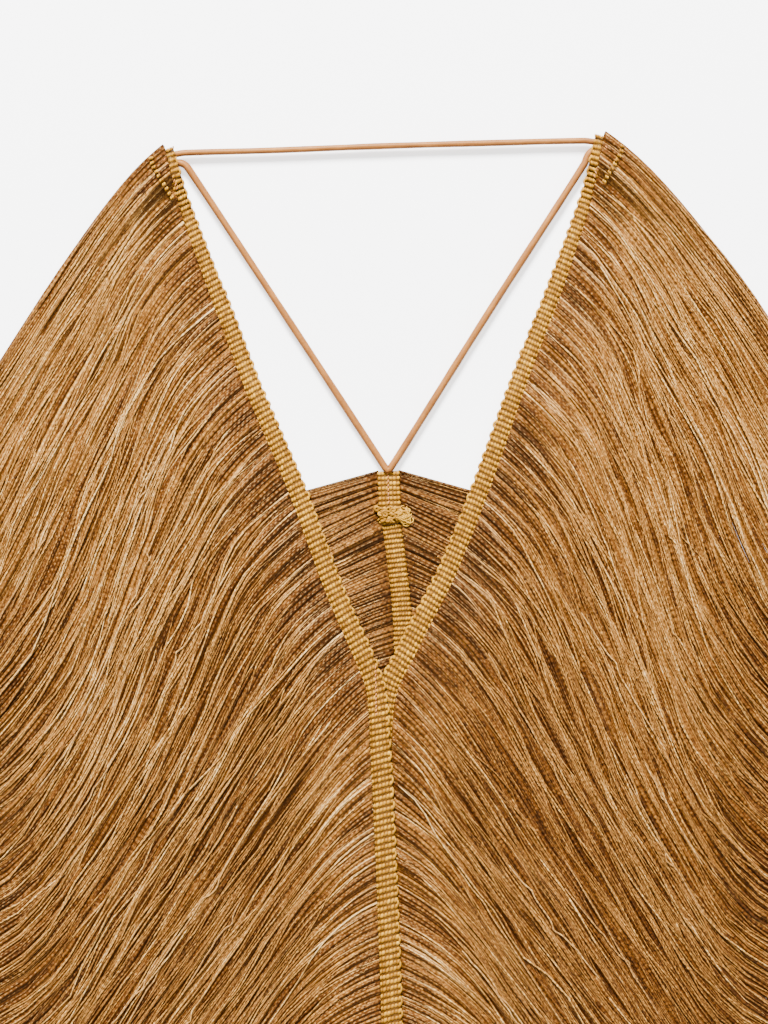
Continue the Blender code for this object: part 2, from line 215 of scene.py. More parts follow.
def tubeFaces(tubes, rings, sides):
    # quads along closed tubes and a face on each end, for points in the order tube, ring, side
    first = np.arange(tubes)[:, None, None] * rings * sides
    ring = np.arange(rings - 1)[None, :, None] * sides
    side = np.arange(sides)[None, None, :]
    after = (side + 1) % sides
    quads = np.stack([first + ring + side, first + ring + after,
                      first + ring + sides + after, first + ring + sides + side], axis=-1)
    start = np.arange(tubes)[:, None] * rings * sides + np.arange(sides)[None, ::-1]
    end = np.arange(tubes)[:, None] * rings * sides + (rings - 1) * sides + np.arange(sides)[None, :]
    return [quads.reshape(-1, 4), start, end]


def makeTubes(name, centres, radii, sides, values=None, phase=None, twist=0.0):
    # closed tubes round lines of centres, shaped (tubes, rings, 3) in metres
    tubes, rings = centres.shape[:2]
    ahead = np.gradient(centres, axis=1)
    ahead /= np.maximum(np.linalg.norm(ahead, axis=2, keepdims=True), 1e-12)
    sideways = np.stack([-ahead[..., 1], ahead[..., 0], np.zeros((tubes, rings))], axis=-1)
    sideways /= np.maximum(np.linalg.norm(sideways, axis=2, keepdims=True), 1e-12)
    upward = np.cross(ahead, sideways)
    upward = -upward if upward[0, 0, 2] < 0 else upward
    phase = np.zeros(tubes) if phase is None else phase
    twist = np.broadcast_to(twist, tubes)
    angle = (phase[:, None, None] + twist[:, None, None] * np.arange(rings)[None, :, None]
             + 2 * math.pi * np.arange(sides)[None, None, :] / sides)
    out = (np.cos(angle)[..., None] * sideways[:, :, None]
           + np.sin(angle)[..., None] * upward[:, :, None])
    points = centres[:, :, None] + out * radii[:, :, None, None]
    steps = np.linalg.norm(np.diff(centres, axis=1), axis=2)
    along = np.concatenate([np.zeros((tubes, 1)), np.cumsum(steps, axis=1)], axis=1)
    uv = np.stack([np.broadcast_to(along[:, :, None], angle.shape),
                   np.broadcast_to(np.arange(sides)[None, None, :] / sides, angle.shape)
                   + np.arange(tubes)[:, None, None] * 3.7], axis=-1)
    spread = {}
    for key, value in (values or {}).items():
        value = value[..., None] if value.ndim == 2 else value[:, None, None]
        spread[key] = np.broadcast_to(value, angle.shape)
    return makePiece(name, points.reshape(-1, 3), tubeFaces(tubes, rings, sides), spread,
                     uv.reshape(-1, 2))


print("stage: finishes")


def startMaterial(name):
    material = bpy.data.materials.new(name)
    material.use_nodes = True
    return material, material.node_tree.nodes, material.node_tree.links


def addRamp(nodes, stops):
    ramp = nodes.new("ShaderNodeValToRGB")
    while len(ramp.color_ramp.elements) < len(stops):
        ramp.color_ramp.elements.new(0.5)
    for element, (place, color) in zip(ramp.color_ramp.elements, stops):
        element.position = place
        element.color = (*color, 1.0)
    return ramp


def addNoise(nodes, links, vector, scale, detail):
    noise = nodes.new("ShaderNodeTexNoise")
    noise.inputs["Scale"].default_value = scale
    noise.inputs["Detail"].default_value = detail
    links.new(vector, noise.inputs["Vector"])
    return noise.outputs["Fac"]


def addMath(nodes, links, operation, one, two):
    node = nodes.new("ShaderNodeMath")
    node.operation = operation
    for socket, value in zip(node.inputs, (one, two)):
        if isinstance(value, (int, float)):
            socket.default_value = value
        else:
            links.new(value, socket)
    return node.outputs[0]


def addMapping(nodes, links, vector, scale):
    mapping = nodes.new("ShaderNodeMapping")
    mapping.inputs["Scale"].default_value = scale
    links.new(vector, mapping.inputs["Vector"])
    return mapping.outputs[0]


def addStreaks(nodes, links, vector, scale, detail):
    # noise drawn out along a yarn or cord by its own map
    return addNoise(nodes, links, addMapping(nodes, links, vector, scale), 1.0, detail)


def addBlend(nodes, links, parts, drop):
    # the sum of the parts times their weights, less the drop
    (first, weight), *rest = parts
    mixed = addMath(nodes, links, "MULTIPLY", first, weight)
    for value, weight in rest:
        weighted = addMath(nodes, links, "MULTIPLY", value, weight)
        mixed = addMath(nodes, links, "ADD", mixed, weighted)
    return addMath(nodes, links, "SUBTRACT", mixed, drop)


def addBump(nodes, links, height, strength, depth):
    bump = nodes.new("ShaderNodeBump")
    bump.inputs["Strength"].default_value = strength
    bump.inputs["Distance"].default_value = depth
    links.new(height, bump.inputs["Height"])
    links.new(bump.outputs["Normal"], nodes["Principled BSDF"].inputs["Normal"])


def setSheen(nodes, roughness, specular, tint):
    shader = nodes["Principled BSDF"]
    shader.inputs["Roughness"].default_value = roughness
    shader.inputs["Specular IOR Level"].default_value = specular
    shader.inputs["Specular Tint"].default_value = (*tint, 1.0)


def readMap(nodes):
    node = nodes.new("ShaderNodeUVMap")
    node.uv_map = "UVMap"
    return node.outputs[0]


def readValue(nodes, name):
    node = nodes.new("ShaderNodeAttribute")
    node.attribute_name = name
    return node.outputs["Fac"]


def yarnFinish(name, stops, paintedHighlightColor, roughness):
    # twisted yarn: its own tone and a slow change along it, with painted glints of the ply, painted
    # short highlights along it and a painted pale highlight by the tape
    material, nodes, links = startMaterial(name)
    uv = readMap(nodes)
    # speckle: painted glints of the ply, which also drive the bump; streak: painted short highlights;
    # drift: a slow change of tone
    speckle = addStreaks(nodes, links, uv, (850.0, 1.0, 1.0), 2.0)
    streak = addStreaks(nodes, links, uv, (170.0, 1.0, 1.0), 1.0)
    drift = addStreaks(nodes, links, uv, (45.0, 1.0, 1.0), 2.0)
    tone = readValue(nodes, "tone")
    parts = ((tone, 0.85), (speckle, 1.0), (streak, 0.5), (drift, 0.4))
    ramp = addRamp(nodes, stops)
    links.new(addBlend(nodes, links, parts, 0.88), ramp.inputs["Fac"])
    # painted highlight: a pale colour mixed in where the glints fall, as much as each yarn's pale
    # value allows
    paintedGlint = addMath(nodes, links, "MULTIPLY", speckle, 1.5)
    pale = addMath(nodes, links, "MULTIPLY", readValue(nodes, "pale"), paintedGlint)
    pale = addMath(nodes, links, "MINIMUM", pale, 0.6)
    mix = nodes.new("ShaderNodeMix")
    mix.data_type = "RGBA"
    mix.inputs["B"].default_value = (*paintedHighlightColor, 1.0)
    links.new(pale, mix.inputs["Factor"])
    links.new(ramp.outputs["Color"], mix.inputs["A"])
    links.new(mix.outputs["Result"], nodes["Principled BSDF"].inputs["Base Color"])
    ply = nodes.new("ShaderNodeTexWave")
    ply.bands_direction = "DIAGONAL"
    ply.inputs["Scale"].default_value = 0.32
    ply.inputs["Distortion"].default_value = 1.5
    links.new(addMapping(nodes, links, uv, (620.0, 1.0, 1.0)), ply.inputs["Vector"])
    height = addMath(nodes, links, "ADD", ply.outputs["Fac"], speckle)
    addBump(nodes, links, height, 0.8, 0.0003)
    setSheen(nodes, roughness, 0.5, (0.95, 0.58, 0.22))
    return material


goldStops = (
    (0.0, (0.018, 0.0038, 0.0006)), (0.25, (0.062, 0.018, 0.0025)),
    (0.55, (0.190, 0.075, 0.0125)), (0.8, (0.36, 0.178, 0.041)), (1.0, (0.58, 0.38, 0.15)))
# the back layer: the gold at 0.9 of its brightness, painted shade of the layer that lies under the
# front
backStops = tuple((place, tuple(0.9 * c for c in color)) for place, color in goldStops)
yarnGold = yarnFinish("yarnGold", goldStops, (0.50, 0.31, 0.13), 0.40)
yarnBack = yarnFinish("yarnBack", backStops, (0.46, 0.28, 0.12), 0.45)


def tapeFinish(name, stops):
    # beads of the woven tape: each its own tone, with fine threads over it
    material, nodes, links = startMaterial(name)
    place = nodes.new("ShaderNodeTexCoord").outputs["Object"]
    fine = addNoise(nodes, links, place, 1500.0, 3.0)
    broad = addNoise(nodes, links, place, 60.0, 2.0)
    tone = readValue(nodes, "tone")
    ramp = addRamp(nodes, stops)
    links.new(addBlend(nodes, links, ((tone, 0.55), (fine, 0.35), (broad, 0.25)), 0.12),
              ramp.inputs["Fac"])
    links.new(ramp.outputs["Color"], nodes["Principled BSDF"].inputs["Base Color"])
    addBump(nodes, links, fine, 0.3, 0.0002)
    setSheen(nodes, 0.45, 0.4, (1.0, 0.75, 0.3))
    return material


tapeGold = tapeFinish("tapeGold", (
    (0.0, (0.07, 0.022, 0.001)), (0.35, (0.22, 0.092, 0.006)), (0.65, (0.39, 0.19, 0.014)),
    (1.0, (0.66, 0.39, 0.055))))
# the ground strip between the ribs is coloured dark as painted shade between the beads
tapeGround = tapeFinish("tapeGround", (
    (0.0, (0.03, 0.010, 0.001)), (0.5, (0.09, 0.034, 0.005)), (1.0, (0.18, 0.08, 0.014))))
threadOrange = tapeFinish("threadOrange", (
    (0.0, (0.25, 0.075, 0.018)), (0.5, (0.46, 0.17, 0.055)), (1.0, (0.62, 0.30, 0.13))))


def leatherFinish():
    # smooth round leather with a fine grain, rubbed streaks and one thin seam along it
    material, nodes, links = startMaterial("leatherTan")
    uv = readMap(nodes)
    place = nodes.new("ShaderNodeTexCoord").outputs["Object"]
    streak = addStreaks(nodes, links, uv, (90.0, 3.0, 1.0), 4.0)
    grain = addNoise(nodes, links, place, 1400.0, 4.0)
    around = nodes.new("ShaderNodeSeparateXYZ")
    links.new(uv, around.inputs[0])
    seamPlace, seamHalf = 0.36, 0.022    # shares of the way round
    aside = addMath(nodes, links, "SUBTRACT", around.outputs["Y"], seamPlace)
    aside = addMath(nodes, links, "ABSOLUTE", aside, 0.0)
    seam = addMath(nodes, links, "LESS_THAN", aside, seamHalf)
    darker = addMath(nodes, links, "MULTIPLY", seam, 0.25)
    ramp = addRamp(nodes, ((0.25, (0.11, 0.032, 0.005)), (0.5, (0.20, 0.072, 0.013)),
                           (0.75, (0.30, 0.118, 0.026))))
    links.new(addBlend(nodes, links, ((streak, 0.6), (grain, 0.4)), darker), ramp.inputs["Fac"])
    links.new(ramp.outputs["Color"], nodes["Principled BSDF"].inputs["Base Color"])
    addBump(nodes, links, grain, 0.25, 0.0001)
    setSheen(nodes, 0.5, 0.35, (1.0, 0.7, 0.42))
    return material


leatherTan = leatherFinish()


def dress(piece, material):
    piece.data.materials.append(material)
    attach(piece, "root")
    return piece


print("stage: camera")

# the middle of the picture, the height that it shows, and the plane that it is sharp on, in metres
view = {"across": -0.0005, "up": 0.5066, "height": 0.5253, "plane": 0.002, "lens": 85.0,
        "sensor": 36.0}
distance = view["height"] / 2 * view["lens"] / (view["sensor"] / 2)
bpy.ops.object.camera_add(location=(view["across"], view["up"], distance + view["plane"]),
                          rotation=(0, 0, 0))
camera = bpy.context.object
camera.data.lens = view["lens"]
camera.data.sensor_width = view["sensor"]
bpy.context.scene.camera = camera

print("stage: leather cords")

cord = {
    "topDiameter": 3.3, "backDiameter": 3.75, "sides": 14, "ringStep": 1.5,
    "unevenStep": 12.0, "uneven": 0.04,    # how often and by what share the thickness changes
    "top": ((-114.6, 12.2, 3.5), (-111.2, 11.2, 3.5), (-107.1, 10.1, 3.5), (-102.5, 9.4, 3.5),
            (-60.0, 8.2, 3.5), (0.0, 5.9, 3.5), (60.0, 4.2, 3.5), (101.5, 3.2, 3.5),
            (106.6, 3.7, 3.5), (110.8, 4.6, 3.5), (114.4, 5.4, 3.5)),
    "back": ((-113.4, 16.3, 3.5), (-110.1, 15.4, 3.5), (-106.6, 14.5, 3.5), (-102.9, 15.2, 3.5),
             (-100.2, 18.2, 3.5), (-49.2, 95.5, 3.1), (-4.4, 163.8, 2.9), (-0.6, 169.6, 3.2),
             (1.6, 172.2, 3.4), (3.7, 169.6, 3.2), (7.5, 163.8, 2.9), (52.9, 91.5, 3.1),
             (102.0, 15.2, 3.5), (103.9, 10.7, 3.5), (106.7, 8.1, 3.5), (109.9, 8.8, 3.5),
             (113.1, 9.5, 3.5)),
}


def makeCord(name, rows, diameter):
    plan = [row[:2] for row in rows]
    line = smoothLine(plan)
    marks = np.concatenate([[0.0], np.cumsum(np.abs(np.diff([complex(*row) for row in plan])))])
    lengths = np.linspace(0.0, line["length"], int(line["length"] / cord["ringStep"]))
    heights = np.interp(lengths / line["length"], marks / marks[-1], [row[2] for row in rows])
    rng = np.random.default_rng(5)
    spots = np.arange(0.0, line["length"] + cord["unevenStep"], cord["unevenStep"])
    uneven = np.interp(lengths, spots, rng.uniform(-cord["uneven"], cord["uneven"], len(spots)))
    centres = toWorld(pointAt(line, lengths), heights)[None]
    radii = (diameter / 2 * (1.0 + uneven) * mm)[None]
    piece = makeTubes(name, centres, radii, cord["sides"])
    dress(piece, leatherTan)
    return piece


topCord = makeCord("leather_cord_top", cord["top"], cord["topDiameter"])
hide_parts("halter_cord_top")
backCord = makeCord("leather_cord_back", cord["back"], cord["backDiameter"])
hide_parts("halter_cord_back")

print("stage: woven tapes")

tape = {
    "thickness": 1.2,
    "frontWidths": ((0.0, 8.6), (60.0, 8.9), (290.0, 10.8), (345.0, 11.6), (1210.0, 11.6)),
    "backWidth": 11.6, "sideWidth": 11.0,
    "frontPitches": ((0.0, 2.75), (60.0, 2.75), (300.0, 2.95), (360.0, 3.15), (1200.0, 3.15)),
    # the beads' share of the width, on the inner side
    "ropeShare": ((0.0, 0.62), (15.0, 0.64), (38.0, 0.84), (85.0, 1.0)),
    "lapRise": 1.5, "lapStart": 235.0, "lapEnd": 275.0,    # the left tape climbs over the right
    "groundThickness": 0.6, "groundInset": 0.9, "groundStep": 4.0,
    "groundCorner": ((0.0, 0.1), (10.0, 1.0)),    # share left of its outer half, from the tip on
    "beadMiddle": 0.75,       # height of the beads' middles over the tape's underside
    "shownEnd": 620.0,        # finer beads down to here
    "tipFold": ((24.0, .6), (12.0, .6), (3.5, .6), (2.05, .99), (.99, 2.05), (.6, 3.5), (.99, 4.95),
                (2.05, 6.01), (3.5, 6.4), (12.8, 6.4), (19.2, 2.1), (24.6, 2.1), (32.0, .6)),
    # length and lift of the beads
    "tipSlope": ((3.5, 5.8), (12.8, 5.8), (17.0, 4.0), (24.6, 1.9), (33.0, 0.0)),
    "knotStart": 0.8, "knotPitch": 2.5, "knotLength": 2.2, "knotWidth": 2.0,
    "knotHeights": ((0.0, 8.3), (12.0, 8.5), (17.0, 7.8), (24.0, 4.5)),
    "knotsLeft": ((-119.5, 12.0), (-118.7, 16.3), (-116.4, 20.4), (-112.6, 26.7), (-108.9, 32.8)),
    "knotsRight": ((121.4, 6.0), (120.6, 9.6), (118.4, 14.0), (114.8, 19.8), (111.4, 25.8)),
    "backFold": ((23.0, 2.5), (19.0, 2.6), (16.0, 2.1), (1.35, 2.1), (0.82, 1.88), (0.6, 1.35),
                 (0.82, 0.82), (1.35, 0.6)),
}
frontWidth = lambda s: readTable(tape["frontWidths"], s)
backWidth = lambda s: np.full(np.shape(s), tape["backWidth"])
sideWidth = lambda s: np.full(np.shape(s), tape["sideWidth"])


def tipLift(lengths):
    # height of the folded tip's upper layer over the tape that lies flat
    upper = tape["tipFold"][8:]
    lifts = [height - tape["thickness"] / 2 for _, height in upper]
    return np.interp(lengths, [length for length, _ in upper], lifts)


def beadLift(lengths):
    return readTable(tape["tipSlope"], lengths)


def ropeShare(lengths):
    return readTable(tape["ropeShare"], lengths)


def frontLeftHeight(lengths):
    # underside of the left front tape, which climbs over the right one
    climb = smoothStep(lengths, tape["lapStart"], tape["lapEnd"])
    return frontLayer(pointAt(frontLeft, lengths)) + tape["lapRise"] * climb


def frontRightHeight(lengths):
    return frontLayer(pointAt(frontRight, lengths))


def backHeight(lengths):
    return np.zeros(np.shape(lengths))


def makeGround(name, line, widthOf, heightOf, fold, last, inner=0):
    # the thin woven strip under the beads, round its folded end; inner is the side of the beads
    along = [row[0] for row in fold]
    heights = [row[1] for row in fold]
    step, rise = tape["groundStep"], tape["thickness"] / 2
    flat = np.append(np.arange((fold[-1][0] if fold else 0.0) + step, last, step), last)
    lengths = np.concatenate([along, flat]) if fold else np.concatenate([[0.0], flat])
    start = [] if fold else [heightOf(np.zeros(1))[0] + rise]
    middles = np.concatenate([heights, start, heightOf(flat) + rise])
    lean = np.arctan2(np.gradient(middles), np.gradient(lengths))
    half = widthOf(lengths) / 2 - tape["groundInset"] / 2
    middle = pointAt(line, lengths)
    heading = headingAt(line, lengths)
    thick = tape["groundThickness"] / 2
    rings = []
    for across, up in ((-1, -1), (1, -1), (1, 1), (-1, 1)):
        corner = readTable(tape["groundCorner"], lengths) if across == -inner else 1.0
        place = middle - 1j * heading * across * half * corner - heading * np.sin(lean) * up * thick
        rings.append(toWorld(place, middles + np.cos(lean) * up * thick))
    points = np.stack(rings, axis=1)
    faces = tubeFaces(1, len(lengths), 4)
    return makePiece(name, points.reshape(-1, 3), [group[:, ::-1] for group in faces],
                     {"tone": np.full(len(points) * 4, 0.4)})


# half width and half length are shares of a bead's room; half height and wobble are millimetres
bead = {"grow": 1.12, "fill": 0.98, "halfWidth": 0.56, "halfLength": 0.45, "halfHeight": 0.82,
        "lean": 0.45, "wobble": 0.05, "uneven": 0.06, "tone": 0.5, "toneSpread": 0.2}


def modelBead(fine):
    # one bead, shaped; x across the tape, y along it, z up
    bpy.ops.object.select_all(action="DESELECT")
    if fine:
        bpy.ops.mesh.primitive_ico_sphere_add(subdivisions=1, radius=1.0)
    else:
        bpy.ops.mesh.primitive_uv_sphere_add(segments=4, ring_count=2, radius=1.0)
    obj = bpy.context.object
    bpy.ops.object.mode_set(mode="EDIT")
    bpy.ops.mesh.select_all(action="SELECT")
    bpy.ops.mesh.quads_convert_to_tris()
    bpy.ops.transform.resize(value=(bead["grow"],) * 3)
    bpy.ops.object.mode_set(mode="OBJECT")
    points = np.array([vertex.co for vertex in obj.data.vertices])
    faces = np.array([list(face.vertices) for face in obj.data.polygons])
    bpy.data.objects.remove(obj)
    return points, faces


fineBead, plainBead = modelBead(True), modelBead(False)


def copyShapes(shape, origins, across, along, upward, sizes):
    # the modelled shape once for each origin, turned to its axes and scaled
    points, faces = shape
    axes = np.stack([across, along, upward], axis=1) * sizes[:, :, None]
    placed = origins[:, None] + np.einsum("vk,nkc->nvc", points, axes)
    shifted = faces[None] + (np.arange(len(origins)) * len(points))[:, None, None]
    return placed.reshape(-1, 3), shifted.reshape(-1, faces.shape[1])


def ribBeads(line, widthOf, middleOf, lengths, pitch, beads, slantOf, rng,
             lean=bead["lean"], inner=0):
    # origins, axes, sizes and tones of the beads of ribs that cross the tape
    rib = np.repeat(lengths, beads)
    seat = np.tile(np.arange(beads), len(lengths))
    pitches = np.repeat(np.broadcast_to(pitch, len(lengths)), beads)
    share = ropeShare(rib) if inner else np.ones(len(rib))
    width = widthOf(rib) * share
    across = (((seat + 0.5) / beads - 0.5) * width * bead["fill"]
              + inner * widthOf(rib) * (1.0 - share) / 2)
    slant = slantOf(rib)
    along = rib - across * slant
    wobble = rng.normal(0.0, bead["wobble"], (len(rib), 3))
    place = pointAt(line, along) - 1j * headingAt(line, along) * across
    origins = toWorld(place, middleOf(along)) + wobble * mm
    heading = headingAt(line, rib)
    ahead = toWorldStep(-heading)
    ahead[:, 2] = -(middleOf(along + 1.0) - middleOf(along - 1.0)) / 2.0 * mm
    ahead = toUnit(ahead)
    turned = toUnit(toWorldStep(-1j * heading - heading * slant))
    upward = toUnit(np.cross(turned, ahead))
    sizes = np.stack([width / beads * bead["halfWidth"], pitches * bead["halfLength"],
                      np.full(len(rib), bead["halfHeight"])], axis=1)
    leaning = ahead * math.cos(lean) + turned * math.sin(lean)
    turned = turned * math.cos(lean) - ahead * math.sin(lean)
    sizes *= (1.0 + rng.normal(0.0, bead["uneven"], (len(rib), 3))) * mm
    tones = np.clip(bead["tone"] + rng.normal(0.0, bead["toneSpread"], len(rib)), 0.0, 1.0)
    return origins, turned, leaning, upward, sizes, tones


def makeBeads(name, groups):
    points, faces, tones = [], [], []
    count = 0
    for shape, (origins, across, along, upward, sizes, tone) in groups:
        placed, shifted = copyShapes(shape, origins, across, along, upward, sizes)
        points.append(placed)
        faces.append(shifted + count)
        tones.append(np.repeat(tone, len(shape[0])))
        count += len(placed)
    return makePiece(name, np.concatenate(points), [np.concatenate(faces)],
                     {"tone": np.concatenate(tones)})


weft = {"rings": 7, "inset": 0.5, "bulge": 0.5, "uneven": 0.1, "span": 0.9, "lift": 0.2,
        "radius": 0.5, "swell": 0.12, "sides": 4, "tone": 0.62, "toneSpread": 0.12}


def edgeLoops(name, line, widthOf, middleOf, lengths, side, slantOf, rng):
    # the weft turns back at the edge in a loop over each pair of ribs
    one, two = lengths[0:-1:2], lengths[1::2]
    count = min(len(one), len(two))
    one, two = one[:count], two[:count]
    turn = np.linspace(-math.pi / 2, math.pi / 2, weft["rings"])[None]
    half = (two - one)[:, None] / 2
    middle = (one + two)[:, None] / 2
    reach = (widthOf(middle) / 2 - weft["inset"] + weft["bulge"] * np.cos(turn)
             + rng.normal(0, weft["uneven"], (count, 1)))
    along = middle + half * np.sin(turn) * weft["span"] - reach * side * slantOf(middle)
    place = pointAt(line, along) - 1j * headingAt(line, along) * reach * side
    centres = toWorld(place, middleOf(along) + weft["lift"] * np.cos(turn))
    thickness = (weft["radius"] + weft["swell"] * np.cos(turn)) * mm
    tones = np.clip(rng.normal(weft["tone"], weft["toneSpread"], count), 0, 1)
    return makeTubes(name, centres, np.broadcast_to(thickness, along.shape), weft["sides"],
                     {"tone": tones})


def ribLengths(start, end, pitchOf):
    lengths = [start]
    while lengths[-1] < end:
        lengths.append(lengths[-1] + pitchOf(lengths[-1]))
    return np.array(lengths[:-1])


# each tape's ground, what goes with it, and its width and length as cut, folded end included
sheets = {}
noSlant = lambda s: np.zeros(np.shape(s))
frontPitch = lambda length: float(readTable(tape["frontPitches"], length))
knotWidth = lambda s: np.full(np.shape(s), tape["knotWidth"])
knotHeight = lambda s: readTable(tape["knotHeights"], s)
fronts = {
    "left": {"line": frontLeft, "height": frontLeftHeight, "knots": tape["knotsLeft"], "inner": 1,
             "slants": ((0, 0.10), (60, 0.11), (280, 0.12), (330, 0.21)), "seed": 21},
    "right": {"line": frontRight, "height": frontRightHeight, "knots": tape["knotsRight"],
              "inner": -1, "slants": ((0, -0.06), (60, -0.06), (280, -0.08), (330, -0.1)),
              "seed": 22},
}
for side, front in fronts.items():
    rng = np.random.default_rng(front["seed"])
    line, heightOf, inner = front["line"], front["height"], front["inner"]
    last, lean = line["length"], inner * bead["lean"]
    slant = lambda s, front=front: readTable(front["slants"], s)
    middleOf = lambda s, heightOf=heightOf: heightOf(s) + beadLift(s) + tape["beadMiddle"]
    ground = makeGround("tape_ground_front_" + side, line, frontWidth, heightOf, tape["tipFold"],
                        last, inner)
    dress(ground, tapeGround)
    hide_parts("front_tape_" + side)
    lengths = ribLengths(1.0, last - 1.0, frontPitch)
    pitch = np.array([frontPitch(length) for length in lengths])
    shown = lengths < tape["shownEnd"]
    groups = []
    for shape, part in ((fineBead, shown), (plainBead, ~shown)):
        groups.append((shape, ribBeads(line, frontWidth, middleOf, lengths[part], pitch[part], 6,
                                       slant, rng, lean, inner)))
    knotLine = smoothLine(front["knots"])
    knots = np.arange(tape["knotStart"], knotLine["length"], tape["knotPitch"])
    groups.append((fineBead, ribBeads(knotLine, knotWidth, knotHeight, knots, tape["knotLength"], 2,
                                      noSlant, rng, lean)))
    beads = makeBeads("tape_ribs_front_" + side, groups)
    dress(beads, tapeGold)
    loops = edgeLoops("tape_loops_front_" + side, line, frontWidth, middleOf, lengths[2:], inner,
                      slant, rng)
    dress(loops, tapeGold)
    sheets["front_" + side] = [ground, [beads, loops], (0.0116, last * mm + 0.032)]

backTape = {
    "flatStart": 24.0, "shownEnd": 170.0, "pitch": 2.5, "hiddenPitch": 3.0, "middle": 0.78,
    "foldStart": 1.4, "foldEnd": 21.5, "foldPitch": 2.57,
    "foldMiddles": ((0.0, 1.9), (1.4, 2.25), (16.0, 2.25), (22.0, 2.6)),
}
rng = np.random.default_rng(23)
last = backMiddle["length"]
ground = makeGround("tape_ground_back", backMiddle, backWidth, backHeight, tape["backFold"], last)
dress(ground, tapeGround)
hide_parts("back_tape")
lengths = ribLengths(backTape["flatStart"], last - 1.0, lambda length: backTape[
    "pitch" if length < backTape["shownEnd"] else "hiddenPitch"])
folded = ribLengths(backTape["foldStart"], backTape["foldEnd"], lambda length: backTape["foldPitch"])
foldMiddle = lambda s: readTable(backTape["foldMiddles"], s)
flatMiddle = lambda s: np.full(np.shape(s), backTape["middle"])
shown = lengths < backTape["shownEnd"]
groups = []
for shape, middleOf, at, pitch, count, lean in (
        (fineBead, foldMiddle, folded, backTape["foldPitch"], 6, 0.2),
        (fineBead, flatMiddle, lengths[shown], backTape["pitch"], 8, 0.7),
        (plainBead, flatMiddle, lengths[~shown], backTape["hiddenPitch"], 6, bead["lean"])):
    groups.append((shape, ribBeads(backMiddle, backWidth, middleOf, at, pitch, count, noSlant, rng,
                                   lean)))
beads = makeBeads("tape_ribs_back", groups)
dress(beads, tapeGold)

# loops of thread along the cut end, and finer curls beside it
rawEnd = {"loops": 34, "curls": 46, "at": 22.5, "spread": 3.4, "bends": (3.6, 5.6), "squash": 0.75,
          "heights": ((22.0, 3.1), (27.0, 1.9)), "heap": 0.9, "arch": 0.7, "rings": 11, "sides": 5}


def makeCurls(name, across, lengths, sizes, thickness, tones, rng):
    # loose loops of thread, lying over the back tape at its cut end
    count = len(across)
    turn = np.linspace(0.0, 1.0, rawEnd["rings"])[None]
    start = rng.uniform(0, 2 * math.pi, (count, 1))
    bend = start + turn * rng.uniform(*rawEnd["bends"], (count, 1)) * rng.choice((-1, 1), (count, 1))
    place = (pointAt(backMiddle, lengths)[:, None] + across[:, None]
             + sizes[:, None] * (np.cos(bend) + 1j * rawEnd["squash"] * np.sin(bend)))
    heights = readTable(rawEnd["heights"], lengths)[:, None]
    heights = heights + rng.uniform(0.0, rawEnd["heap"], (count, 1))
    heights = heights + rawEnd["arch"] * np.sin(math.pi * turn)
    radii = np.broadcast_to(thickness[:, None] * mm, place.shape)
    return makeTubes(name, toWorld(place, heights), radii, rawEnd["sides"], {"tone": tones})


loops, curls = rawEnd["loops"], rawEnd["curls"]
frayed = makeCurls(
    "tape_raw_end_back",
    np.concatenate([np.linspace(-7.0, 6.4, loops) + rng.normal(0, 0.4, loops),
                    rng.normal(7.2, 1.3, curls)]),
    np.concatenate([rawEnd["at"] + rng.uniform(-1, 1, loops) * rawEnd["spread"],
                    rng.normal(rawEnd["at"] + 0.8, 1.6, curls)]),
    np.concatenate([rng.uniform(0.8, 1.7, loops), rng.uniform(0.8, 2.4, curls)]),
    np.concatenate([rng.uniform(0.55, 0.85, loops), rng.uniform(0.2, 0.32, curls)]),
    np.concatenate([rng.uniform(0.2, 0.8, loops), rng.uniform(0.9, 1.0, curls)]), rng)
dress(frayed, tapeGold)
sheets["back"] = [ground, [beads, frayed], (0.0116, backMiddle["length"] * mm + 0.023)]

# orange sewing stitches: start and end of each row, its height over the table, and the stitch's lean
stitch = {
    "pitch": 1.9, "length": 1.5, "radius": 0.28, "arch": 0.3, "rings": 5, "sides": 5,
    "front_left": (((-112.6, 13.3), (-106.4, 27.7), (7.9, 4.6), 0.9),
                   ((-4.9, 273.0), (-4.5, 297.0), (5.4, 5.4), 0.3)),
    "front_right": (((113.0, 7.2), (107.2, 21.5), (7.9, 4.6), -0.9),),
    "back": (((1.4, 173.4), (1.9, 188.5), (3.35, 3.35), 0.2),),
}


def makeStitches(name, rows):
    centres = []
    for start, end, heights, lean in rows:
        start, end = complex(*start), complex(*end)
        count = int(abs(end - start) / stitch["pitch"]) + 1
        shares = np.linspace(0.0, 1.0, count)[:, None]
        heading = (end - start) / abs(end - start) * np.exp(1j * lean)
        turn = np.linspace(-0.5, 0.5, stitch["rings"])[None]
        place = start + (end - start) * shares + heading * turn * stitch["length"]
        height = (heights[0] + (heights[1] - heights[0]) * shares
                  + stitch["arch"] * np.cos(math.pi * turn))
        centres.append(toWorld(place, height))
    centres = np.concatenate(centres)
    radii = np.full(centres.shape[:2], stitch["radius"] * mm)
    tones = np.linspace(0.3, 0.8, len(centres))
    return makeTubes(name, centres, radii, stitch["sides"], {"tone": tones})


for key in ("front_left", "front_right", "back"):
    sewn = makeStitches("stitches_" + key, stitch[key])
    dress(sewn, threadOrange)
    sheets[key][1].append(sewn)

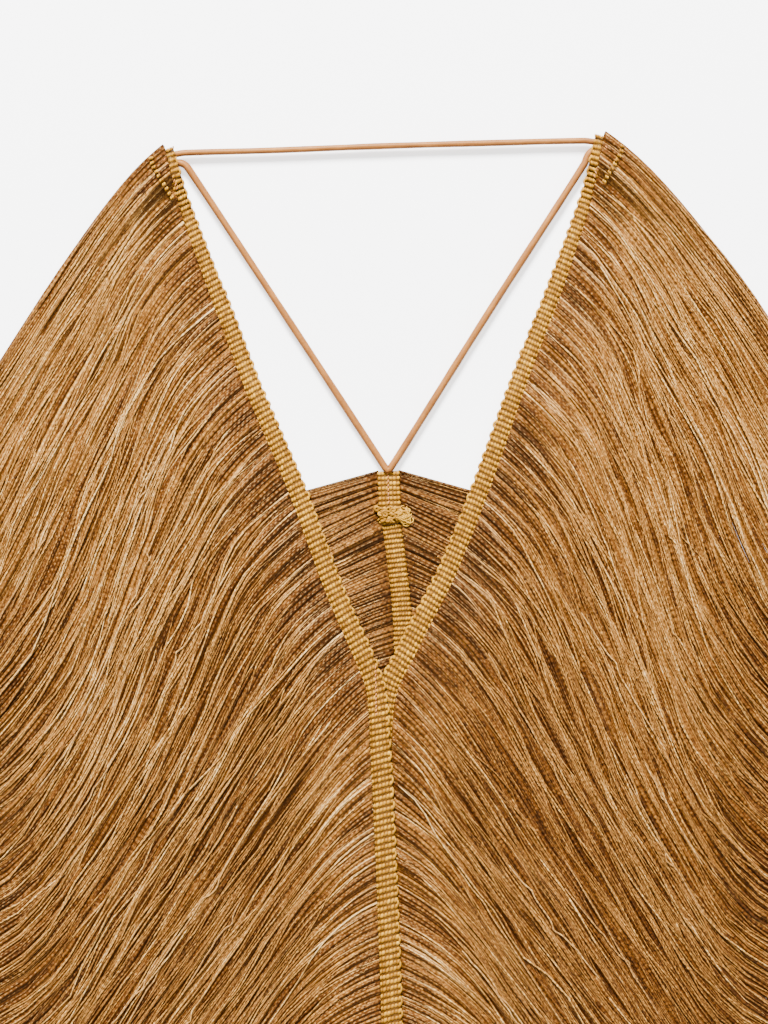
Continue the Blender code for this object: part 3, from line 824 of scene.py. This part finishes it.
# heights of the undersides of the side tapes, the front ones on the back ones
sideTape = {"layers": {"back": 0.0, "front": 1.5}, "gap": 0.3, "start": 1.6, "pitch": 3.15,
            "beads": 5, "middle": 0.72}
for layer, low in sideTape["layers"].items():
    for side, line, outward in (("left", sideLeft, -1), ("right", sideRight, 1)):
        rng = np.random.default_rng(31 + outward + int(low * 4))
        aside = (tape["sideWidth"] / 2 + sideTape["gap"]) * outward
        places = pointAt(line, line["lengths"]) - 1j * headingAt(line, line["lengths"]) * aside
        middle = {"places": places, "lengths": line["lengths"], "length": line["length"]}
        heightOf = lambda s, low=low: np.full(np.shape(s), low)
        middleOf = lambda s, low=low: np.full(np.shape(s), low + sideTape["middle"])
        ground = makeGround("tape_ground_side_" + layer + "_" + side, middle, sideWidth, heightOf, (),
                            sideLength)
        dress(ground, tapeGround)
        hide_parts("side_tape_" + layer + "_" + side)
        lengths = ribLengths(sideTape["start"], sideLength - 1.0, lambda length: sideTape["pitch"])
        beads = makeBeads("tape_ribs_side_" + layer + "_" + side, [
            (plainBead, ribBeads(middle, sideWidth, middleOf, lengths, sideTape["pitch"],
                                 sideTape["beads"], noSlant, rng))])
        dress(beads, tapeGold)
        sheets["side_" + layer + "_" + side] = [ground, [beads], (0.011, sideLength * mm)]

print("stage: yarns")

yarn = {
    "sides": 3,
    "front": {"near": 1400, "nearEnd": 600.0, "nearRings": 25, "radius": 0.5, "bedWidth": 1.9,
              "far": 620, "farRings": 14, "farRadius": 0.78, "farBedWidth": 2.05,
              "depth": 2.2, "squeeze": 0.55, "denser": 0.9},
    "back": {"near": 520, "nearEnd": 170.0, "nearRings": 15, "radius": 0.52, "bedWidth": 1.9,
             "far": 740, "farRings": 12, "farRadius": 0.8, "farBedWidth": 2.05,
             "depth": 1.5, "squeeze": 0.6, "denser": 0.0},
    "bed": 0.40,           # share of the yarns that lie evenly below the rest
    "bedBends": 0.1, "bedClumps": 0.2,    # shares of the others' bends
    "strays": 0.03, "strayReach": 5.0, "strayShape": (0.6, 1.6),
    "steps": 60,           # straight steps of a fall before it is fitted between its ends
    "crowding": 1.3,       # more of the rings lie near the tape
    "lastRing": 0.996,     # two rings close together, so that the cut end doesn't shade the yarn
    "endSpread": 2.6,      # how unevenly the yarns reach the side tape
    "rootInset": 0.8, "endInset": 1.2, "aboveZone": (0.0, 9.0),    # millimetres at the tapes
    "crowdZone": (10.0, 60.0),    # denser yarns at the shoulder tip
    "gather": 0.6, "gatherZone": (0.03, 0.3),    # the locks loosen by this share
    "clumps": ((11.0, 0.4, -4.1), (19.0, 0.5, 3.2), (47.0, 0.8, 1.3)),    # length, height, turns
    "lockBends": ((1.1, 1.0), (2.9, 0.75), (5.7, 0.4)),                   # turns and size
    "ownBends": ((0.9, 0.9), (2.1, 0.6), (4.6, 0.36), (7.9, 0.2)),
    "unrest": (2.2, 0.45),    # shape and scale of how much single yarns bend
    "bendZone": (0.0, 0.16), "sewn": 0.75, "sewnZone": (0.86, 1.0),
    "calm": 0.25, "calmZone": (0.0, 40.0),    # bends left along the garment's outer edge
    "thickness": (0.85, 1.15), "taper": 0.2, "taperZone": (0.9, 1.0), "twist": 0.35,
    "pieceLimit": 190000,
}
# heights in millimetres, and places in the fringe as shares of its depth or of a yarn's length
yarnPile = {
    "bed": 0.25, "least": 0.15, "own": 0.45, "lock": 0.4, "stray": 0.4, "highest": 1.15,
    "wave": 0.25, "waveTurns": 3.3, "waveHighest": 1.3, "clear": 0.15,
    "rootRoom": 0.35, "rootZone": (0.0, 0.2), "endLoss": 0.4, "endZone": (0.85, 1.0),
    "liftZone": (0.0, 0.25), "overTape": 1.4, "overZone": (0.03, 0.12),
}
# tones from 0, dark, to 1, light, and the zones in which they change
yarnTone = {
    # byDepth, bed: painted shade, darker the lower a yarn lies; stray: painted light on raised
    # strays; shownBed: painted light over the cast shadow near the shoulder tips
    "middle": 0.28, "byDepth": 0.34, "bed": 0.24, "spread": 0.13, "stray": 0.2, "shownBed": 0.4,
    "shoulder": 0.16, "shoulderZone": (120.0, 260.0), "tip": 0.12, "tipZone": (3.0, 16.0),
    "belowV": 0.03, "belowZone": (300.0, 420.0),
    # hem: painted light at the free ends; sideEnd: painted shade where the yarns go under the side
    # tape
    "hem": 0.1, "hemZone": (0.85, 1.0), "sideEnd": 0.06, "sideZone": (0.7, 0.95),
    # root: painted highlight where a yarn leaves the tape; bedRoot: painted shade of the ropes over
    # the bed yarns there
    "root": 0.10, "bedRoot": -0.08, "rootZone": (0.02, 0.1),
    # flank: painted shade on the outer ends between the sleeve and the waist
    "flank": 0.12,         # darker outer ends between the sleeve and the waist
    "flankAcross": (135.0, 190.0), "flankStart": (205.0, 255.0), "flankEnd": (330.0, 430.0),
    "spine": 0.24,         # lighter yarns beside the tape below the V
    "spineZone": (240.0, 320.0), "spineReach": (22.0, 60.0),
    # paleReach, paleShare and paleLeast: where and how much painted pale highlight the yarns get
    "paleReach": (5.0, 30.0), "paleShare": (0.2, 1.0), "paleLeast": 0.04,
}


def fallAngles(table, lengths):
    keys = [key for key, _ in table]
    return np.stack([np.interp(lengths, keys, [values[i] for _, values in table])
                     for i in range(len(fallShares))], axis=1)


def yarnRoutes(panel, leave, reach, shares):
    # plan of each yarn from the tape to the side tape or the hem
    steps = yarn["steps"]
    free = leave > panel["held"]
    angles = np.where(free[:, None], fallAngles(panel["freeFall"], leave),
                      fallAngles(panel["fall"], leave))
    at = (np.arange(steps) + 0.5) / steps
    bends = np.stack([np.interp(at, fallShares, line) for line in angles])
    run = np.cumsum(np.exp(1j * np.radians(bends)), axis=1)
    run = np.concatenate([np.zeros((len(leave), 1)), run], axis=1)
    side = panel["side"]
    edge = panel["width"](leave) * (panel["cover"](leave) - 0.5) - yarn["rootInset"]
    heading = headingAt(panel["line"], leave)
    root = pointAt(panel["line"], leave) - 1j * side * heading * edge
    root = root - heading * panel["above"] * fadeOut(leave, *yarn["aboveZone"])
    rest = np.clip((reach - panel["held"]) / (panel["line"]["length"] - panel["held"]), 0.0, 1.0)
    hem = side * (hemOuter + (hemInner - hemOuter) * rest) + 1j * gownLength
    sewn = pointAt(panel["sideLine"], np.clip(reach / panel["held"], 0, 1) * sideLength)
    end = np.where(free, hem, sewn)
    end = end + np.where(free, 0.0, side * yarn["endInset"])
    wanted = side * (end - root).real + 1j * (end - root).imag
    run = run * (wanted / run[:, -1])[:, None]
    index = shares * steps
    low = np.minimum(steps - 1, index.astype(int))
    part = index - low
    placed = run[:, low] * (1 - part) + run[:, low + 1] * part
    return root[:, None] + side * placed.real + 1j * placed.imag, free


def ripple(rng, places, shares, waves):
    # waves that run across neighbouring yarns
    total = 0.0
    for wave, height, turns in waves:
        total = total + height * np.sin(2 * math.pi * (places[:, None] / wave + turns * shares[None]
                                                       + rng.uniform()))
    return total


def bendAlong(bends, shares, phases):
    # slow bends along each yarn, begun at its own phases
    return sum(size * np.sin(2 * math.pi * (turns * shares[None] + phases[:, i:i + 1]))
               for i, (turns, size) in enumerate(bends))


def makeYarns(names, panel, settings, seed):
    rng = np.random.default_rng(seed)
    start, last = panel["start"], panel["line"]["length"] - 1.0
    marks = np.linspace(start, settings["nearEnd"], 2400)
    crowd = np.cumsum(1.0 + settings["denser"] * fadeOut(marks, *yarn["crowdZone"]))
    near = np.interp(np.linspace(crowd[0], crowd[-1], settings["near"]), crowd, marks)
    far = np.linspace(settings["nearEnd"], last, settings["far"] + 1)[1:]
    pieces = []
    for name, even, ringCount, radius, bedWidth in (
            (names[0], near, settings["nearRings"], settings["radius"], settings["bedWidth"]),
            (names[-1], far, settings["farRings"], settings["farRadius"], settings["farBedWidth"])):
        pieces += layYarns(name, panel, settings, rng, even, ringCount, radius, bedWidth)
    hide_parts(panel["node"])
    return pieces


def yarnHeights(panel, settings, lot, shares, routes, radii):
    # over the tape at the start, then down to the yarn's own depth in the fringe
    even, bed, free, stray = lot["even"], lot["bed"], lot["free"], lot["stray"]
    lift = panel["height"](even) + panel["tip"](even) - panel["layer"](pointAt(panel["line"], even))
    lift = lift[:, None] * fadeOut(shares, *yarnPile["liftZone"])[None]
    filled = smoothStep(shares, *yarnPile["rootZone"])
    closed = smoothStep(shares, *yarnPile["endZone"]) * (1 - free[:, None])
    room = settings["depth"] * (yarnPile["rootRoom"] + (1 - yarnPile["rootRoom"]) * filled
                                - yarnPile["endLoss"] * closed)
    wave = np.sin(2 * math.pi * (yarnPile["waveTurns"] * shares[None] + lot["phases"][:, 2:3]))
    high = np.clip(lot["depth"] + (stray != 0) * yarnPile["stray"], 0.0, yarnPile["highest"])
    high = high[:, None] + np.where(bed, 0.0, yarnPile["wave"])[:, None] * wave
    shown = (1.0 - panel["cover"](even))[:, None] * yarnPile["overTape"]
    shown = shown * fadeOut(shares, *yarnPile["overZone"])[None]
    return (panel["layer"](routes) + lift + shown + radii[:, None] + yarnPile["clear"]
            + room * np.clip(high, 0.0, yarnPile["waveHighest"]))


def yarnTones(panel, lot, shares, routes, along, rng):
    even, bed, free = lot["even"], lot["bed"], lot["free"]
    # painted shade on lower yarns, bed yarns and a panel's shade; painted light on stray yarns and on
    # bed yarns shown near the shoulder tips
    tone = (yarnTone["middle"] + yarnTone["byDepth"] * lot["depth"] - yarnTone["bed"] * bed
            + rng.normal(0.0, yarnTone["spread"], len(even)) + (lot["stray"] != 0) * yarnTone["stray"]
            + yarnTone["shoulder"] * fadeOut(even, *yarnTone["shoulderZone"])
            - yarnTone["tip"] * fadeOut(even, *yarnTone["tipZone"])
            - yarnTone["belowV"] * smoothStep(even, *yarnTone["belowZone"]) - panel["shade"]
            + yarnTone["shownBed"] * bed * (1 - panel["cover"](even)))
    # painted shade where they go under the side tape, painted light at the free ends of the hem
    paler = yarnTone["hem"] * smoothStep(shares, *yarnTone["hemZone"])[None]
    darker = -yarnTone["sideEnd"] * smoothStep(shares, *yarnTone["sideZone"])[None]
    tones = np.clip(tone, 0.0, 1.0)[:, None] + np.where(free[:, None], paler, darker)
    # painted highlight at the roots of the upper yarns, painted shade at the roots of the bed yarns
    root = np.where(bed, yarnTone["bedRoot"], yarnTone["root"])[:, None]
    tones = tones + root * fadeOut(shares, *yarnTone["rootZone"])[None]
    # painted shade on the flanks
    flank = (smoothStep(np.abs(routes.real), *yarnTone["flankAcross"])
             * smoothStep(routes.imag, *yarnTone["flankStart"])
             * fadeOut(routes.imag, *yarnTone["flankEnd"]))
    beside = (fadeOut(along, *yarnTone["spineReach"])
              * smoothStep(even, *yarnTone["spineZone"])[:, None])
    return tones - yarnTone["flank"] * flank + yarnTone["spine"] * beside


def layYarns(name, panel, settings, rng, even, ringCount, radius, bedWidth):
    count = len(even)
    shares = yarn["lastRing"] * np.linspace(0.0, 1.0, ringCount - 1) ** yarn["crowding"]
    shares = np.append(shares, 1.0)
    depth = rng.permutation(np.linspace(0.0, 1.0, count))
    bed = (np.arange(count) * yarn["bed"]) % 1.0 < yarn["bed"]
    # the yarns of one rib stay together as a lock
    pitch = panel["pitch"]
    rib = np.floor(even / pitch)
    lock = rib.astype(int)
    lockDepth = rng.uniform(0.0, 1.0, lock.max() + 1)[lock]
    lockPhases = rng.uniform(0.0, 1.0, (lock.max() + 1, 3))[lock]
    depth = np.where(bed, yarnPile["bed"] * depth,
                     yarnPile["least"] + yarnPile["own"] * depth + yarnPile["lock"] * lockDepth)
    bundled = (rib + 0.5 + (even / pitch - rib - 0.5) * settings["squeeze"]) * pitch
    still = np.where(bed, yarn["bedBends"], 1.0)
    reach = even + rng.normal(0.0, yarn["endSpread"], count) * smoothStep(even, 0.0, 30.0) * still
    routes, free = yarnRoutes(panel, even, np.maximum(reach, 0.0), shares)
    gathered = headingAt(panel["line"], even) * (bundled - even) * still
    loosened = 1 - yarn["gather"] * smoothStep(shares, *yarn["gatherZone"])
    routes = routes + gathered[:, None] * loosened[None]
    ahead = np.gradient(routes, axis=1)
    ahead /= np.abs(ahead)
    # the bends begin clear of the tape, and calm down towards the side tape but not at the hem
    loose = smoothStep(shares, *yarn["bendZone"])
    held = loose * (1 - yarn["sewn"] * smoothStep(shares, *yarn["sewnZone"]))
    keep = np.where(free[:, None], loose[None], held[None])
    clump = ripple(rng, even, shares, yarn["clumps"])
    clump = clump + bendAlong(yarn["lockBends"], shares, lockPhases) * (~bed)[:, None]
    phases = rng.uniform(0, 1, (count, 4))
    own = bendAlong(yarn["ownBends"], shares, phases)
    own *= rng.gamma(*yarn["unrest"], count)[:, None]
    own *= still[:, None]
    stray = (rng.uniform(size=count) < yarn["strays"]) * ~bed
    stray = stray * rng.normal(0.0, yarn["strayReach"], count)
    shape = rng.uniform(*yarn["strayShape"], (count, 1))
    own = own + stray[:, None] * np.sin(math.pi * shares ** shape)
    calm = yarn["calm"] + (1 - yarn["calm"]) * smoothStep(even, *yarn["calmZone"])
    bends = clump * np.where(bed, yarn["bedClumps"], 1.0)[:, None] + own
    routes = routes + 1j * ahead * bends * keep * calm[:, None]
    steps = np.abs(np.diff(routes, axis=1))
    along = np.concatenate([np.zeros((count, 1)), np.cumsum(steps, axis=1)], axis=1)
    lot = {"even": even, "bed": bed, "free": free, "stray": stray, "depth": depth, "phases": phases}
    radii = radius * rng.uniform(*yarn["thickness"], count) * np.where(bed, bedWidth, 1.0)
    centres = toWorld(routes, yarnHeights(panel, settings, lot, shares, routes, radii))
    taper = 1 - (yarn["taper"] * (free & ~bed)[:, None]
                 * smoothStep(shares, *yarn["taperZone"])[None])
    tones = yarnTones(panel, lot, shares, routes, along, rng)
    # painted highlight: a pale share near the root of each yarn, strongest where it leaves the tape;
    # the bed yarns get none
    pales = (panel["pale"] * fadeOut(along, *yarnTone["paleReach"])
             * rng.uniform(*yarnTone["paleShare"], (count, 1)) + yarnTone["paleLeast"])
    pales = np.where(bed[:, None], 0.0, pales)
    pieces = []
    triangles = count * (ringCount * 2 * yarn["sides"] - 4)
    share = 1 if triangles < yarn["pieceLimit"] else 2
    for number, part in enumerate(np.array_split(np.arange(count), share)):
        label = name if share == 1 else name + "_" + str(number + 1)
        # a bed yarn keeps one of its three sides up, so that the bed is low and closed
        phase = np.where(bed[part], math.pi / 6, rng.uniform(0, 6.28, len(part)))
        twist = np.where(bed[part], 0.0, yarn["twist"])
        piece = makeTubes(label, centres[part], (radii[part, None] * taper[part]) * mm, yarn["sides"],
                          {"tone": tones[part], "pale": pales[part]}, phase, twist)
        dress(piece, panel["finish"])
        pieces.append(piece)
    return pieces


noTip = lambda s: np.zeros(np.shape(s))
fullCover = lambda s: np.ones(np.shape(s))
# pale: strength of the painted pale highlight by the tape
anyFront = dict(held=955.0, layer=frontLayer, tip=tipLift, freeFall=frontFreeFall, start=0.4,
                pitch=2.95, width=frontWidth, cover=ropeShare, above=2.3, finish=yarnGold, pale=0.55)
anyBack = dict(line=backMiddle, held=850.0, height=backHeight, layer=backLayer, tip=noTip,
               fall=backFall, freeFall=backFreeFall, start=0.5, pitch=2.6, width=backWidth,
               cover=fullCover, above=0.0, finish=yarnBack, pale=0.6, shade=0.0)
# shade: painted shade taken off a panel's tone, some on the front right
panels = {
    "front_left": dict(anyFront, line=frontLeft, sideLine=sideLeft, side=-1, height=frontLeftHeight,
                       fall=(edgeFallLeft,) + frontFall, shade=0.0, node="front_fringe_left"),
    "front_right": dict(anyFront, line=frontRight, sideLine=sideRight, side=1,
                        height=frontRightHeight, fall=(edgeFallRight,) + frontFall, shade=0.025,
                        node="front_fringe_right"),
    "back_left": dict(anyBack, sideLine=sideLeft, side=-1, node="back_fringe_left"),
    "back_right": dict(anyBack, sideLine=sideRight, side=1, node="back_fringe_right"),
}
fringes = {}
for number, (key, panel) in enumerate(panels.items()):
    settings = yarn[key.split("_")[0]]
    names = ["yarns_" + key + "_upper", "yarns_" + key + "_lower"]
    fringes[key] = makeYarns(names, panel, settings, 101 + number)
    print("yarns", key, [len(piece.data.polygons) for piece in fringes[key]])

loose = {"count": 22, "rings": 44, "radius": 0.42, "sides": 4, "height": 3.4, "drop": 1.6,
         "from": (35.0, 520.0), "drift": 5.0, "kinks": 3, "kink": 1.2, "kinkWidth": 0.035,
         # shares of the fall: where a loose yarn begins, how much of it shows, where it kinks
         "begin": (0.1, 0.6), "shown": (0.16, 0.34), "kinkAt": (0.1, 0.9), "fineSteps": 121,
         # pale: the share of painted highlight on each loose yarn
         "tone": (0.6, 0.9), "pale": (0.1, 0.35)}


def makeLoose(name, panel, rng):
    # single yarns that lie over the rest, with the kinks of the yarn ball
    count = loose["count"]
    leave = rng.uniform(*loose["from"], count)
    begin = rng.uniform(*loose["begin"], count)
    index = np.linspace(0.0, 1.0, loose["rings"])
    fine = np.linspace(0.0, 1.0, loose["fineSteps"])
    routes, _ = yarnRoutes(panel, leave, leave, fine)
    shares = begin[:, None] + rng.uniform(*loose["shown"], count)[:, None] * index[None]
    places = np.stack([np.interp(share, fine, route.real) + 1j * np.interp(share, fine, route.imag)
                       for share, route in zip(shares, routes)])
    ahead = np.gradient(places, axis=1)
    ahead /= np.abs(ahead)
    drift = rng.normal(0.0, loose["drift"], (count, 1)) * (index[None] - 0.5)
    kinks = 0
    for _ in range(loose["kinks"]):
        size = rng.normal(0.0, loose["kink"], (count, 1))
        away = (index[None] - rng.uniform(*loose["kinkAt"], (count, 1))) / loose["kinkWidth"]
        kinks = kinks + size / (1.0 + away ** 2)
    places = places + 1j * ahead * (drift + kinks)
    ends = np.abs(2 * index[None] - 1) ** 3
    heights = panel["layer"](places) + loose["height"] - loose["drop"] * ends
    radii = np.full(places.shape, loose["radius"] * mm)
    piece = makeTubes(name, toWorld(places, heights), radii, loose["sides"],
                      {key: rng.uniform(*loose[key], count) for key in ("tone", "pale")})
    return dress(piece, panel["finish"])


for number, key in enumerate(("front_left", "front_right")):
    rng = np.random.default_rng(71 + number)
    fringes[key].append(makeLoose("yarns_" + key + "_loose", panels[key], rng))

for key, (ground, trims, flat) in sheets.items():
    extra = trims + fringes.get(key, [])
    if key == "back":
        extra += fringes["back_left"] + fringes["back_right"]

print("stage: floor and light")

# the floor glows a little, so that it renders as the white of the picture
studio = {"floorSize": 8.0, "floorDrop": 0.0006, "floorTone": 0.9, "floorGlow": 1.6, "sky": 0.8,
          # name, place, where it points, size in metres and power of each light
          "lights": (("key", (-0.35, 2.6, 2.0), (0, 0.4, 0), 1.0, 560.0),
                     ("fill", (1.6, 0.2, 1.8), (0, 0.3, 0), 1.5, 20.0))}
bpy.ops.object.select_all(action="DESELECT")
bpy.ops.mesh.primitive_plane_add(size=studio["floorSize"], location=(0, 0, -studio["floorDrop"]))
floor = bpy.context.object
floor.name = "floor"
floorFinish, floorNodes, floorLinks = startMaterial("paleFloor")
floorShader = floorNodes["Principled BSDF"]
floorShader.inputs["Base Color"].default_value = (*(studio["floorTone"],) * 3, 1)
floorShader.inputs["Roughness"].default_value = 0.9
floorShader.inputs["Emission Color"].default_value = (1, 1, 1, 1)
floorShader.inputs["Emission Strength"].default_value = studio["floorGlow"]
floor.data.materials.append(floorFinish)
floor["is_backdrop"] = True

world = bpy.data.worlds.new("studio")
bpy.context.scene.world = world
world.use_nodes = True
world.node_tree.nodes["Background"].inputs["Color"].default_value = (1, 1, 1, 1)
world.node_tree.nodes["Background"].inputs["Strength"].default_value = studio["sky"]


def addLight(name, place, target, size, power):
    bpy.ops.object.light_add(type="AREA", location=place)
    light = bpy.context.object
    light.name = name
    light.data.shape = "DISK"
    light.data.size = size
    light.data.energy = power
    light.rotation_mode = "QUATERNION"
    light.rotation_quaternion = (Vector(target) - Vector(place)).to_track_quat("-Z", "Y")


for light in studio["lights"]:
    addLight(*light)

bpy.ops.object.select_all(action="DESELECT")
bpy.context.view_layer.update()
total = sum(sum(len(face.vertices) - 2 for face in piece.data.polygons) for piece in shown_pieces())
print("triangles", total)
